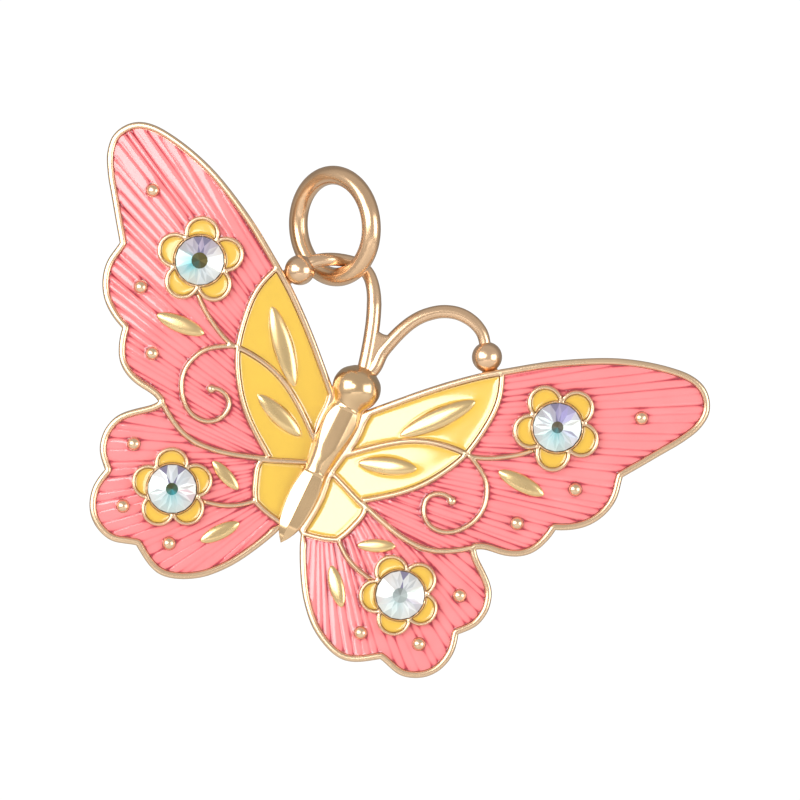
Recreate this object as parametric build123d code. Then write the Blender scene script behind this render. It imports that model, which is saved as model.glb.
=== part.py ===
from build123d import *
import math
import os

# Hanging butterfly ornament: a gold-plated cast butterfly with enamel-filled cells and four set
# crystals, hung askew by a closed wire ring that runs round its left antenna.
#
# Working frame of the model: u to the butterfly's right as seen from the front, v up along its body,
# w towards the viewer. Everything is turned into the hanging frame at the very end.

# ---------------------------------------------------------------- driving dimensions (mm, degrees)
HANG_TILT = 25.0        # the body leans this far from plumb when the ornament hangs by its ring
ARCH_U = 16.5           # each wing is a shallow vault, highest this far out from the body
ARCH_RISE = 1.4         # and this much higher there than at the body and at the tip
FLOOR = 0.9             # thickness of metal under the enamel
RIM_TOP = 1.7           # thickness over the raised rim and lines
ENAMEL_TOP = 1.42       # level of the cured enamel
RIM_W = 0.66            # width of the raised outer rim
LINE_W = 0.52           # width of the raised lines between cells
STEM_W = 0.46           # width of the flower stems and the scroll
BOND = 0.04             # bond line between an enamel fill and the metal round it

FLOWER_TOP = 2.05       # top of the raised flowers
PETAL_FLOOR = 1.25
PETAL_TOP = 1.80
PETAL_R = 1.78          # each petal is a lobe of this radius
PETAL_AT = 2.70         # with its centre this far from the flower's centre
PETAL_RIM = 0.40
HUB_R = 2.64
SEAT_R = 2.42           # pocket for the crystal
SEAT_FLOOR = 0.75
SEAT_WALL = 0.22

CRYSTAL_R = 2.35        # 4.7 mm stone
CEMENT_T = 0.30
CRYSTAL_GIRDLE_Z = 2.00
CRYSTAL_BAND = 0.22
CRYSTAL_CROWN_H = 0.85
CRYSTAL_TABLE_R = 0.85
CRYSTAL_SIDES = 12

BEAD_R = 0.66
BEAD_RISE = 0.34        # a bead's centre lies this far under the rim's top

BODY_U = -0.14          # the body sits this far off the middle
BODY_W = 1.85           # height of the body's own axis
FACET_AT = 1.42         # the thorax's flats: the top one and the side ones' distance from the axis, and the side ones' tilt
FACET_SIDE = 1.604
FACET_TIP = 25.0
RIDGE_AT = 1.16         # the abdomen's flats: distance from the axis at the waist, tilt, and fall toward the tail
RIDGE_TIP = 21.0
RIDGE_FALL = 5.0
HEAD_V = -0.45

ANT_R = 0.65            # antenna wire radius
ANT_W = 1.78            # height of the antenna's centre line
TIP_R = 1.53            # ball at the end of each antenna
WEB_T = 0.90            # thickness of the web in the fork of the antennae

RING_R = 5.10           # ring, to the middle of its wire
RING_WIRE_R = 0.95
RING_LEAN = 5.7         # the ring's long axis leans left of plumb
RING_YAW = 44.0         # and the ring is turned edgeways by this much
RING_CLEAR = 0.13       # gap between the antenna and the ring's wire

# ---------------------------------------------------------------- outlines of the right half (u, v)
EDGE_A = [(1.7, -2.1), (2.8, -0.98), (4.0, 0.22), (5.0, 1.22), (6.45, 2.62), (8.06, 4.08), (9.35, 5.18), (10.65, 6.22),
          (12.1, 7.25), (14.0, 8.58), (16.0, 9.92), (18.0, 11.1), (20.0, 12.17), (22.0, 13.1), (24.0, 13.82), (26.0, 14.35),
          (28.0, 14.7), (29.2, 14.79), (30.3, 14.68), (31.2, 14.37), (32.0, 13.78), (32.6, 12.95), (32.92, 11.95),
          (32.87, 11.0), (32.6, 10.0), (32.1, 9.0), (31.5, 8.0), (30.8, 7.0), (29.4, 5.0), (28.6, 3.86), (27.74, 2.65)]
EDGE_B = [(27.74, 2.65), (27.9, 1.8), (28.05, 1.0), (28.08, 0.1), (27.92, -0.85), (27.4, -2.15), (26.5, -3.35), (25.4, -4.22),
          (23.88, -4.98)]
EDGE_C = [(23.88, -4.98), (23.72, -5.85), (23.45, -6.7), (22.93, -7.75), (22.1, -8.62), (21.05, -9.2), (19.8, -9.53),
          (18.6, -9.68), (17.52, -10.08)]
EDGE_D = [(17.52, -10.08), (18.0, -10.68), (18.75, -11.3), (19.55, -11.95), (20.2, -12.57), (20.75, -13.35), (21.05, -14.2),
          (21.17, -14.95), (21.1, -15.95), (20.77, -16.95), (20.2, -17.75), (19.48, -18.5)]
EDGE_E = [(19.48, -18.5), (19.68, -19.3), (19.82, -20.4), (19.68, -21.5), (19.2, -22.7), (18.25, -23.78), (17.05, -24.43),
          (15.8, -24.65), (14.65, -24.4), (13.45, -24.05)]
EDGE_F = [(13.45, -24.05), (12.6, -24.62), (11.4, -25.32), (10.1, -25.68), (8.8, -25.52), (7.2, -24.85), (5.8, -23.9),
          (4.8, -22.9), (3.9, -21.8), (3.05, -20.5), (2.3, -19.15), (1.7, -17.95), (1.25, -16.9)]
EDGES = [EDGE_A, EDGE_B, EDGE_C, EDGE_D, EDGE_E, EDGE_F]
ROOT = [(1.25, -16.9), (1.0, -16.15), (0.03, -15.5), (0.03, -3.85), (1.7, -2.1)]

# land left solid under and beside the body
LAND = [(3.0, -0.6), (2.5, -2.0), (2.28, -3.2), (2.32, -4.6), (2.2, -5.9), (1.85, -7.2), (1.55, -8.6), (1.42, -9.7),
        (1.5, -10.8), (1.6, -12.0), (1.56, -13.6), (1.4, -15.0), (1.25, -17.0)]

# raised lines: centre line
YELLOW_EDGE = [(12.35, 7.1), (12.75, 6.1), (13.1, 5.0), (13.32, 3.2), (13.22, 1.5), (12.97, -0.2), (12.6, -1.75), (11.9, -3.4),
               (11.1, -4.8), (10.0, -6.35), (8.65, -7.78), (7.1, -9.05), (5.85, -9.95), (5.1, -10.5)]
UPPER_MID = [(12.65, -1.85), (11.3, -1.88), (9.7, -2.1), (8.06, -2.55), (6.45, -3.32), (4.84, -4.4), (3.2, -5.7), (1.9, -6.82), (1.2, -7.4)]
MID_LOWER = [(0.8, -9.15), (3.0, -9.95), (4.9, -10.7), (5.6, -10.95)]
LOWER_SIDE = [(5.5, -10.7), (5.78, -11.6), (5.5, -12.8), (5.07, -14.0), (4.5, -15.05)]
LOWER_FOOT = [(4.7, -14.95), (4.1, -15.22), (2.7, -15.65), (0.9, -15.95)]
FORE_HIND = [(5.3, -10.7), (6.3, -11.05), (8.3, -11.65), (10.0, -12.05), (11.8, -12.22), (13.4, -12.05), (15.0, -11.42), (16.3, -10.63), (17.25, -9.9)]
STEM_FORE = [(12.8, -1.95), (14.5, -1.42), (16.0, -0.62), (17.4, 0.33), (18.5, 1.35)]
STEM_HIND = [(4.5, -14.95), (5.0, -15.4), (5.9, -16.1), (7.2, -16.75), (8.2, -17.08), (9.5, -17.3)]
SCROLL = [(12.8, -1.75), (14.4, -2.62), (15.45, -3.45), (16.12, -4.6), (16.42, -5.9), (16.25, -7.25), (15.67, -8.4), (14.75, -9.38),
          (13.5, -9.93), (12.3, -9.85), (11.4, -9.25), (10.92, -8.3), (10.95, -7.4), (11.5, -6.75), (12.4, -6.45), (13.15, -6.62)]
SCROLL_EYE = (13.25, -6.72)     # small ball that ends the scroll
SCROLL_EYE_R = 0.42
STROKES = [(YELLOW_EDGE, LINE_W), (UPPER_MID, LINE_W), (MID_LOWER, LINE_W), (LOWER_SIDE, LINE_W), (LOWER_FOOT, LINE_W),
           (FORE_HIND, LINE_W), (STEM_FORE, STEM_W), (STEM_HIND, STEM_W), (SCROLL, STEM_W)]

FLOWERS = [((19.68, 4.4), -2.5), ((12.55, -17.4), -8.4)]     # centre, angle of the first petal
LEAVES = [((5.85, -3.0), (11.15, 3.25), 1.95), ((3.2, -7.2), (8.7, -5.3), 1.75), ((16.25, -2.05), (21.3, -2.3), 1.55),
          ((6.6, -14.7), (10.05, -13.2), 1.1), ((5.2, -17.85), (7.65, -20.8), 1.25)]      # two points and the width
BEADS = [(26.95, 8.8), (23.95, -0.47), (20.1, -6.0), (17.95, -14.95), (16.3, -21.05), (10.55, -22.5)]

# body outline: half-width against v
BODY = [(0.0, 1.75), (1.30, 1.42), (2.10, 0.72), (2.45, -0.30), (2.30, -1.30), (1.82, -2.15), (1.62, -2.62), (1.74, -3.2), (1.88, -4.1),
        (1.84, -5.2), (1.68, -6.7), (1.46, -8.2), (1.27, -9.7), (1.44, -10.6), (1.60, -12.0), (1.56, -13.5), (1.36, -15.0), (1.05, -16.1),
        (0.58, -17.0), (0.0, -17.75)]

# antenna centre lines, from the head to the ball at the tip, and the web cast between their feet
ANT_HOLD = (-7.251, 10.345)      # where the ring bears on the left antenna
LEFT_ANT = [(-0.365, 2.202), (-0.775, 3.887), (-1.17, 5.302), (-1.508, 6.358), (-1.943, 7.48), (-2.408, 8.477), (-2.939, 9.332),
            (-3.555, 10.038), (-4.232, 10.495), (-4.933, 10.697), (-5.657, 10.713), (-6.473, 10.569), (-7.251, 10.345), (-7.9, 10.081),
            (-8.606, 9.702), (-9.264, 9.219), (-9.759, 8.624), (-10.256, 7.774)]
LEFT_SET = [0, 0, 0, -0.05, -0.16, -0.34, -0.52, -0.68, -0.78, -0.78, -0.66, -0.38, 0, 0.3, 0.54, 0.66, 0.68, 0.62]   # its bend toward the viewer
RIGHT_ANT = [(0.619, 2.198), (0.638, 3.718), (0.965, 5.029), (1.428, 6.403), (1.975, 7.596), (2.627, 8.563), (3.377, 9.321),
             (4.199, 9.924), (5.11, 10.338), (6.113, 10.552), (7.243, 10.494), (8.286, 10.153), (9.207, 9.479), (10.369, 7.814)]
WEB = [(-0.386, 2.247), (-0.766, 3.891), (-1.152, 5.311), (-0.563, 5.585), (-0.091, 5.519), (0.322, 5.579), (0.705, 5.824), (1.279, 5.893),
       (0.965, 5.029), (0.638, 3.718), (0.602, 2.377)]


# ---------------------------------------------------------------- flat-shape helpers
def loop(*lines):
    return make_face(Wire([e for l in lines for e in l.edges()]))


def side(points, d, n):
    """Points offset by d to the right of the line's direction of travel."""
    e = Spline(*points)
    out = []
    for i in range(n + 1):
        p, g = e.position_at(i / n), e.tangent_at(i / n)
        out.append((p.X + d * g.Y, p.Y - d * g.X))
    return out


def stroke(points, width):
    n = 3 * len(points)
    a, b = side(points, width / 2, n), side(points, -width / 2, n)
    return loop(Spline(*a), Line(a[-1], b[-1]), Spline(*reversed(b)), Line(b[0], a[0]))


def wing_face():
    return loop(*[Spline(*e) for e in EDGES], Polyline(*ROOT))


def inset_face(d):
    """The wing outline drawn in by d, with the notches rounded, closed off inside the root land."""
    chain, ends = [], []
    for e in EDGES:
        pts = side(e, d, 2 * len(e))
        chain.append(Spline(*pts))
        ends.append((pts[0], pts[-1]))
    for i in range(len(EDGES) - 1):
        n, a, b = EDGES[i][-1], ends[i][1], ends[i + 1][0]
        mx, my = a[0] + b[0] - 2 * n[0], a[1] + b[1] - 2 * n[1]
        s = d / math.hypot(mx, my)
        chain.append(ThreePointArc(a, (n[0] + mx * s, n[1] + my * s), b))
    chain.append(Polyline(ends[-1][1], (0.6, -15.2), (0.6, -4.2), ends[0][0]))
    return loop(*chain)


def land_face(g):
    pts = [(x + g, y) for x, y in LAND]
    return loop(Spline(*pts), Polyline(pts[-1], (-0.5, -18), (-0.5, 0.5), pts[0]))


def leaf_face(spec, g):
    (x0, y0), (x1, y1), width = spec
    a, b = math.hypot(x1 - x0, y1 - y0) / 2 + g, width / 2 + g
    f = loop(ThreePointArc((-a, 0), (0, b), (a, 0)), ThreePointArc((a, 0), (0, -b), (-a, 0)))
    return Pos((x0 + x1) / 2, (y0 + y1) / 2) * Rot(0, 0, math.degrees(math.atan2(y1 - y0, x1 - x0))) * f


def petal_spots(flower):
    (cx, cy), first = flower
    angles = [math.radians(first + 72 * k) for k in range(5)]
    return [(cx + PETAL_AT * math.cos(a), cy + PETAL_AT * math.sin(a)) for a in angles]


def flower_face(flower, g):
    f = Pos(*flower[0]) * Circle(HUB_R + g)
    for p in petal_spots(flower):
        f += Pos(*p) * Circle(PETAL_R + g)
    return f


def petal_cells(flower, g):
    hub = Pos(*flower[0]) * Circle(SEAT_R + SEAT_WALL + g)
    return [(Pos(*p) * Circle(PETAL_R - PETAL_RIM - g)) - hub for p in petal_spots(flower)]


def cells(g):
    """The enamel cells, each drawn in by g from the metal round it: {name: face}."""
    metal = [stroke(p, w + 2 * g) for p, w in STROKES]
    metal += [land_face(g), Pos(*SCROLL_EYE) * Circle(SCROLL_EYE_R + g)]
    metal += [flower_face(f, g) for f in FLOWERS]
    metal += [leaf_face(s, g) for s in LEAVES]
    metal += [Pos(*b) * Circle(BEAD_R + g) for b in BEADS]
    left = Sketch() + inset_face(RIM_W + g)
    for m in metal:
        left = left - m
    seeds = {"forewing_pink": (26.0, 6.0), "hindwing_pink": (17.9, -17.9), "upper_yellow": (11.6, 0.2),
             "middle_yellow": (6.2, -8.4), "lower_yellow": (3.2, -13.0)}
    found = {}
    for f in left.faces():
        for name, (x, y) in seeds.items():
            if f.is_inside((x, y, 0)):
                found[name] = f
    assert len(found) == 5, sorted(found)
    return found


# ---------------------------------------------------------------- vaulted layers
ARCH_R = (ARCH_U ** 2 + ARCH_RISE ** 2) / (2 * ARCH_RISE)     # radius of the vault's underside


def drum(level):
    """Solid under the vault at a given height over the wing's underside."""
    c = Rot(90, 0, 0) * Cylinder(ARCH_R + level, 60)
    return Pos(ARCH_U, -5, ARCH_RISE - ARCH_R) * Rot(0, 90, 0) * c


def height(u):
    return ARCH_RISE - ARCH_R + math.sqrt(ARCH_R ** 2 - (u - ARCH_U) ** 2)


def layer(face, low, high):
    """The part of the wing over a flat shape, between two heights over the wing's underside."""
    tall = Pos(0, 0, -4) * extrude(face, 10)
    return (tall & drum(high)) - drum(low)


# ---------------------------------------------------------------- right-hand wing
def make_wing():
    out = {}
    plate = layer(wing_face(), 0, RIM_TOP)
    for f in cells(0.0).values():
        plate -= layer(f, FLOOR, RIM_TOP + 0.5)
    for fl in FLOWERS:
        plate += layer(flower_face(fl, 0), FLOOR - 0.1, FLOWER_TOP)
    for fl in FLOWERS:
        for c in petal_cells(fl, 0):
            plate -= layer(c, PETAL_FLOOR, FLOWER_TOP + 0.5)
        plate -= Pos(fl[0][0], fl[0][1], height(fl[0][0]) + SEAT_FLOOR) * Cylinder(
            SEAT_R, 5, align=(Align.CENTER, Align.CENTER, Align.MIN))
    for b in BEADS:
        plate += Pos(b[0], b[1], height(b[0]) + RIM_TOP - BEAD_RISE) * Sphere(BEAD_R)
    out["wing_plate"] = plate
    for name, f in cells(BOND).items():
        out[name + "_enamel"] = layer(f, FLOOR + BOND, ENAMEL_TOP)
    for fl, name in zip(FLOWERS, ("forewing", "hindwing")):
        out[name + "_petal_enamel"] = Compound([layer(c, PETAL_FLOOR + BOND, PETAL_TOP).solids()[0] for c in petal_cells(fl, BOND)])
        (cx, cy), first = fl
        spot = Pos(cx, cy, height(cx))
        out[name + "_crystal_cement"] = spot * Pos(0, 0, SEAT_FLOOR + BOND) * Cylinder(
            SEAT_R - 0.05, CEMENT_T, align=(Align.CENTER, Align.CENTER, Align.MIN))
        foot = SEAT_FLOOR + 2 * BOND + CEMENT_T
        ring = RegularPolygon(CRYSTAL_R, CRYSTAL_SIDES)
        base = RegularPolygon(CRYSTAL_R * 0.62, CRYSTAL_SIDES)
        table = RegularPolygon(CRYSTAL_TABLE_R, CRYSTAL_SIDES)
        g0, g1 = CRYSTAL_GIRDLE_Z - CRYSTAL_BAND / 2, CRYSTAL_GIRDLE_Z + CRYSTAL_BAND / 2
        stone = loft([Pos(0, 0, foot) * base, Pos(0, 0, g0) * ring], ruled=True)
        stone += Pos(0, 0, g0) * extrude(ring, g1 - g0)
        stone += loft([Pos(0, 0, g1) * ring, Pos(0, 0, g1 + CRYSTAL_CROWN_H) * table], ruled=True)
        out[name + "_crystal"] = spot * Rot(0, 0, first) * stone
    return out


def both_sides(shape):
    return shape, mirror(shape, about=Plane.YZ)


# ---------------------------------------------------------------- body
def make_body(wing_slab):
    spun = loop(Spline(*BODY), Line(BODY[-1], BODY[0]))
    body = Pos(BODY_U, 0, BODY_W) * revolve(spun, Axis.Y)
    body = body & Pos(0, -8, 0.45 + 10) * Box(30, 40, 20)
    for tip, at in ((0, FACET_AT), (-FACET_TIP, FACET_SIDE), (FACET_TIP, FACET_SIDE)):      # three flats along the thorax
        flat = Pos(0, -6.1, at + 2) * Box(6, 7.4, 4)
        body -= Pos(BODY_U, 0, BODY_W) * Rot(0, tip, 0) * flat
    for tip in (-RIDGE_TIP, RIDGE_TIP):                    # two flats meeting in a ridge along the abdomen
        flat = Pos(0, -10.1, RIDGE_AT) * Rot(RIDGE_FALL, 0, 0) * Pos(0, -4.2, 2) * Box(6, 8.4, 4)
        body -= Pos(BODY_U, 0, BODY_W) * Rot(0, tip, 0) * flat
    half = drum(RIM_TOP + BOND) & Pos(10, -5, 0) * Box(20, 50, 20)
    behind = Pos(0, -12.05, 0) * Box(10, 20, 20)           # behind the wing roots there is no body
    for side_half, slab in zip(both_sides(half), both_sides(wing_slab)):
        body -= side_half & behind
        body -= slab
    body -= Pos(0, 0.75, ANT_W) * Box(2.06, 6, 1.24, align=(Align.CENTER, Align.MIN, Align.CENTER))
    return max(body.solids(), key=lambda s: s.volume)


def make_antennae(wing_slab):
    fork = Pos(0, 0.80, ANT_W) * Box(1.96, 1.90, 1.14, align=(Align.CENTER, Align.MIN, Align.CENTER))
    for pts, bend in ((LEFT_ANT, LEFT_SET), (RIGHT_ANT, [0] * len(RIGHT_ANT))):
        line = [(x, y, ANT_W + b) for (x, y), b in zip(pts, bend)]
        path = Spline(*line)
        start = Plane(origin=path.position_at(0), z_dir=path.tangent_at(0))
        fork += sweep(start * Circle(ANT_R), path=path)
        fork += Pos(*line[-1]) * Sphere(TIP_R)
    web = make_face(Polyline(*WEB, close=True))
    fork += Pos(0, 0, ANT_W - WEB_T / 2) * extrude(web, WEB_T)
    for slab in both_sides(wing_slab):
        fork -= slab
    return max(fork.solids(), key=lambda s: s.volume)


# ---------------------------------------------------------------- put together, in the working frame
nodes = {}
for name, shape in make_wing().items():
    nodes["right_" + name], nodes["left_" + name] = both_sides(shape)
slab_edge = [Spline(*side(EDGE_A, -BOND, 2 * len(EDGE_A)))]
a0, a1 = slab_edge[0].position_at(0), slab_edge[0].position_at(1)
slab_face = loop(slab_edge[0], Polyline((a1.X, a1.Y), (20, -8), (0, -8), (0, -3.75), (a0.X, a0.Y)))
slab = layer(slab_face, -BOND, RIM_TOP + BOND)
nodes["body_casting"] = make_body(slab)
nodes["antenna_fork"] = make_antennae(slab)

# ---------------------------------------------------------------- hanging frame
# X right, Z up, Y away from the viewer, origin where the hook bears: the inside of the ring's top.
turn = Rot(0, HANG_TILT, 0) * Rot(90, 0, 0)
th = math.radians(HANG_TILT)


def hung(u, v, w):
    return (u * math.cos(th) + v * math.sin(th), -w, -u * math.sin(th) + v * math.cos(th))


hold = hung(ANT_HOLD[0], ANT_HOLD[1], ANT_W)
lean = math.radians(RING_LEAN)
up = (-math.sin(lean), 0.0, math.cos(lean))               # the ring's long axis
drop = ANT_R + RING_WIRE_R + RING_CLEAR                    # antenna axis to ring wire centre
foot = tuple(h - drop * a for h, a in zip(hold, up))       # lowest point of the ring's wire
ring_c = tuple(f + RING_R * a for f, a in zip(foot, up))
hook = tuple(c + (RING_R - RING_WIRE_R) * a for c, a in zip(ring_c, up))
shift = Pos(-hook[0], -hook[1], -hook[2])

nodes = {n: shift * (turn * s) for n, s in nodes.items()}

# the ring: turned edgeways about its own long axis, its right side nearer the viewer
yaw = math.radians(RING_YAW)
across = (math.cos(yaw) * math.cos(lean), -math.sin(yaw), math.cos(yaw) * math.sin(lean))
normal = (across[1] * up[2] - across[2] * up[1], across[2] * up[0] - across[0] * up[2], across[0] * up[1] - across[1] * up[0])
plane = Plane(origin=tuple(c - h for c, h in zip(ring_c, hook)), x_dir=across, z_dir=normal)
nodes["hanging_ring"] = plane * Torus(RING_R, RING_WIRE_R)

os.makedirs("parts", exist_ok=True)
for name in sorted(os.listdir("parts")):
    if name.endswith(".step"):
        os.remove(os.path.join("parts", name))
for name, shape in sorted(nodes.items()):
    solids = shape.solids()
    keep = solids[0] if len(solids) == 1 else Compound(solids)
    keep.label = name
    export_step(keep, os.path.join("parts", name + ".step"))


def from_hook(p):
    return tuple(round(a - b, 4) for a, b in zip(p, hook))


bb = Compound([s for n in nodes.values() for s in n.solids()]).bounding_box()
print("pieces", len(nodes), "box", bb.min, bb.max, bb.size)
print("antenna hold", from_hook(hold), "ring centre", from_hook(ring_c), "ring foot", from_hook(foot), "ring normal", normal)
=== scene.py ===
import math
import bpy
import numpy as np
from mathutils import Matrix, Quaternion, Vector, geometry, kdtree, noise


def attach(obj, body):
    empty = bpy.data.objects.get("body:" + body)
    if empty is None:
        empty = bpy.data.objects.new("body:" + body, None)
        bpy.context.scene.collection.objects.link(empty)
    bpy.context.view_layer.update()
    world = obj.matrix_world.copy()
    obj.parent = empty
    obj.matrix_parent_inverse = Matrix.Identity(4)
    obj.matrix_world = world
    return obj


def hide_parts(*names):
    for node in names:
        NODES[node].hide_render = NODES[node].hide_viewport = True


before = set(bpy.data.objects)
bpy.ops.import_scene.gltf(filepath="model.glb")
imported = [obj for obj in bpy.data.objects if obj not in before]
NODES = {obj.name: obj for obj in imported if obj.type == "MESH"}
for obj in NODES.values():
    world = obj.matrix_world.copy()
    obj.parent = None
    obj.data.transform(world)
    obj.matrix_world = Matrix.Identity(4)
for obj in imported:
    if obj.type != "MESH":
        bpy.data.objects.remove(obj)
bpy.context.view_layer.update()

# ------------------------------------------------------------------ the frame of the part (mm)
TH = math.radians(25.0)
CT, ST = math.cos(TH), math.sin(TH)
ARCH_U, ARCH_RISE = 16.5, 1.4
ARCH_R = (ARCH_U ** 2 + ARCH_RISE ** 2) / (2 * ARCH_RISE)
FLOOR, RIM_TOP, ENAMEL_TOP, BOND = 0.9, 1.7, 1.42, 0.04
FLOWER_TOP, PETAL_FLOOR, PETAL_TOP = 2.05, 1.25, 1.80
ANT_R, ANT_W, TIP_R = 0.65, 1.78, 1.53
RING_R, RING_WIRE_R, RING_CLEAR = 5.10, 0.95, 0.13
RING_LEAN, RING_YAW = math.radians(5.7), math.radians(44.0)
ANT_HOLD = (-7.251, 10.345)
BODY_U, BODY_W = -0.14, 1.85

hold = np.array([ANT_HOLD[0] * CT + ANT_HOLD[1] * ST, -ANT_W, -ANT_HOLD[0] * ST + ANT_HOLD[1] * CT])
RUP = np.array([-math.sin(RING_LEAN), 0.0, math.cos(RING_LEAN)])
RACROSS = np.array([math.cos(RING_YAW) * math.cos(RING_LEAN), -math.sin(RING_YAW), math.cos(RING_YAW) * math.sin(RING_LEAN)])
ring_c = hold - (ANT_R + RING_WIRE_R + RING_CLEAR) * RUP + RING_R * RUP
HOOK = ring_c + (RING_R - RING_WIRE_R) * RUP
RING_C = ring_c - HOOK


def to_row(u, v, w):
    """Working coordinates in mm to the row frame in metres."""
    u, v, w = np.asarray(u, float), np.asarray(v, float), np.asarray(w, float)
    p = np.stack([u * CT + v * ST, -w, -u * ST + v * CT], -1) - HOOK
    return p * 0.001


def to_work(co):
    p = np.asarray(co, float) * 1000.0 + HOOK
    return np.stack([p[:, 0] * CT - p[:, 2] * ST, p[:, 0] * ST + p[:, 2] * CT, -p[:, 1]], -1)


def vault(u, t):
    """Height of the vaulted wing at distance u from the body, t over its underside."""
    return ARCH_RISE - ARCH_R + np.sqrt((ARCH_R + np.asarray(t)) ** 2 - (np.asarray(u) - ARCH_U) ** 2)


# ------------------------------------------------------------------ flat regions read from the CAD faces
def node_loops(node, level, tol=0.004):
    """Boundary loops (u, v) of the right-hand node's faces that lie at one height over the wing."""
    me = NODES[node].data
    co = np.empty(len(me.vertices) * 3)
    me.vertices.foreach_get("co", co)
    w = to_work(co.reshape(-1, 3))
    t = np.hypot(w[:, 0] - ARCH_U, w[:, 2] - (ARCH_RISE - ARCH_R)) - ARCH_R
    flat = np.abs(t - level) < tol
    ids, pts = np.zeros(len(w), int), []
    where = np.nonzero(flat)[0]
    near = kdtree.KDTree(len(where))
    for k, i in enumerate(where):
        near.insert((w[i, 0], w[i, 1], 0.0), k)
    near.balance()
    first = {}
    for k, i in enumerate(where):
        j = min(q[1] for q in near.find_range((w[i, 0], w[i, 1], 0.0), 0.002))
        if j not in first:
            first[j] = len(pts)
            pts.append((w[where[j], 0], w[where[j], 1]))
        ids[i] = first[j]
    edges = set()
    for p in me.polygons:
        vs = list(p.vertices)
        if not all(flat[i] for i in vs) or abs(p.normal.y) < 0.8:
            continue
        q = [ids[i] for i in vs]
        for a, b in zip(q, q[1:] + q[:1]):
            if a == b:
                continue
            if (b, a) in edges:
                edges.discard((b, a))
            else:
                edges.add((a, b))
    follow = {}
    for a, b in sorted(edges):
        follow.setdefault(a, []).append(b)
    loops = []
    while follow:
        start = next(iter(follow))
        a, chain = start, []
        while a in follow:
            chain.append(a)
            b = follow[a].pop()
            if not follow[a]:
                del follow[a]
            a = b
            if a == start:
                break
        if len(chain) > 3:
            loops.append(np.array([pts[i] for i in chain]))
    return loops


def draw_in(loop):
    """The hindwing flower is a little smaller than the forewing's: its petals draw in toward the stone."""
    away = np.asarray(loop, float) - np.array([12.55, -17.4])
    far = np.hypot(away[:, 0], away[:, 1])
    if np.hypot(*away.mean(0)) > 4.3 and np.ptp(away, 0).max() < 7:
        return np.asarray(loop, float)
    move = np.interp(far, [0.0, 2.5, 4.5, 5.0, 9.0], [0.0, 0.0, 0.34, 0.0, 0.0])
    return np.asarray(loop, float) - away * (move / np.maximum(far, 1e-6))[:, None]


def top_loops(node, level):
    return [draw_in(l) for l in node_loops(node, level)]


def area2(loop):
    x, y = loop[:, 0], loop[:, 1]
    return 0.5 * float(np.sum(x * np.roll(y, -1) - np.roll(x, -1) * y))


def eased(s, seq, q):
    """Points at lengths q on a smooth curve through seq, whose lengths are s."""
    h = np.maximum(np.diff(s), 1e-9)
    sl = np.diff(seq, axis=0) / h[:, None]
    if len(seq) < 3:
        return seq[0] + (q / h[0])[:, None] * (seq[1] - seq[0])
    m = np.empty_like(seq)
    m[1:-1] = (h[1:, None] * sl[:-1] + h[:-1, None] * sl[1:]) / (h[1:] + h[:-1])[:, None]
    m[0], m[-1] = 1.5 * sl[0] - 0.5 * m[1], 1.5 * sl[-1] - 0.5 * m[-2]
    k = np.clip(np.searchsorted(s, q, side="right") - 1, 0, len(h) - 1)
    t = ((q - s[k]) / h[k])[:, None]
    hk = h[k][:, None]
    return ((2 * t ** 3 - 3 * t ** 2 + 1) * seq[k] + (t ** 3 - 2 * t ** 2 + t) * hk * m[k]
            + (3 * t ** 2 - 2 * t ** 3) * seq[k + 1] + (t ** 3 - t ** 2) * hk * m[k + 1])


def resample(loop, step):
    """Even points along a loop, keeping its corners."""
    d = np.roll(loop, -1, 0) - loop
    ln = np.hypot(d[:, 0], d[:, 1])
    a = d / np.maximum(ln, 1e-9)[:, None]
    prev = np.roll(a, 1, 0)
    turn = np.abs(np.arctan2(prev[:, 0] * a[:, 1] - prev[:, 1] * a[:, 0], np.sum(prev * a, 1)))
    corners = np.nonzero(turn > math.radians(28))[0]
    if len(corners) == 0:
        corners = np.array([0])
    out = []
    n = len(loop)
    for i, c in enumerate(corners):
        e = corners[(i + 1) % len(corners)]
        if e <= c:
            e += n
        seq = [loop[k % n] for k in range(c, e + 1)]
        seq = np.array(seq)
        s = np.r_[0, np.cumsum(np.hypot(*np.diff(seq, axis=0).T))]
        m = max(1, int(math.ceil(s[-1] / step)))
        q = np.linspace(0, s[-1], m + 1)[:-1]
        out.append(eased(s, seq, q))
    return np.vstack(out)


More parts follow.
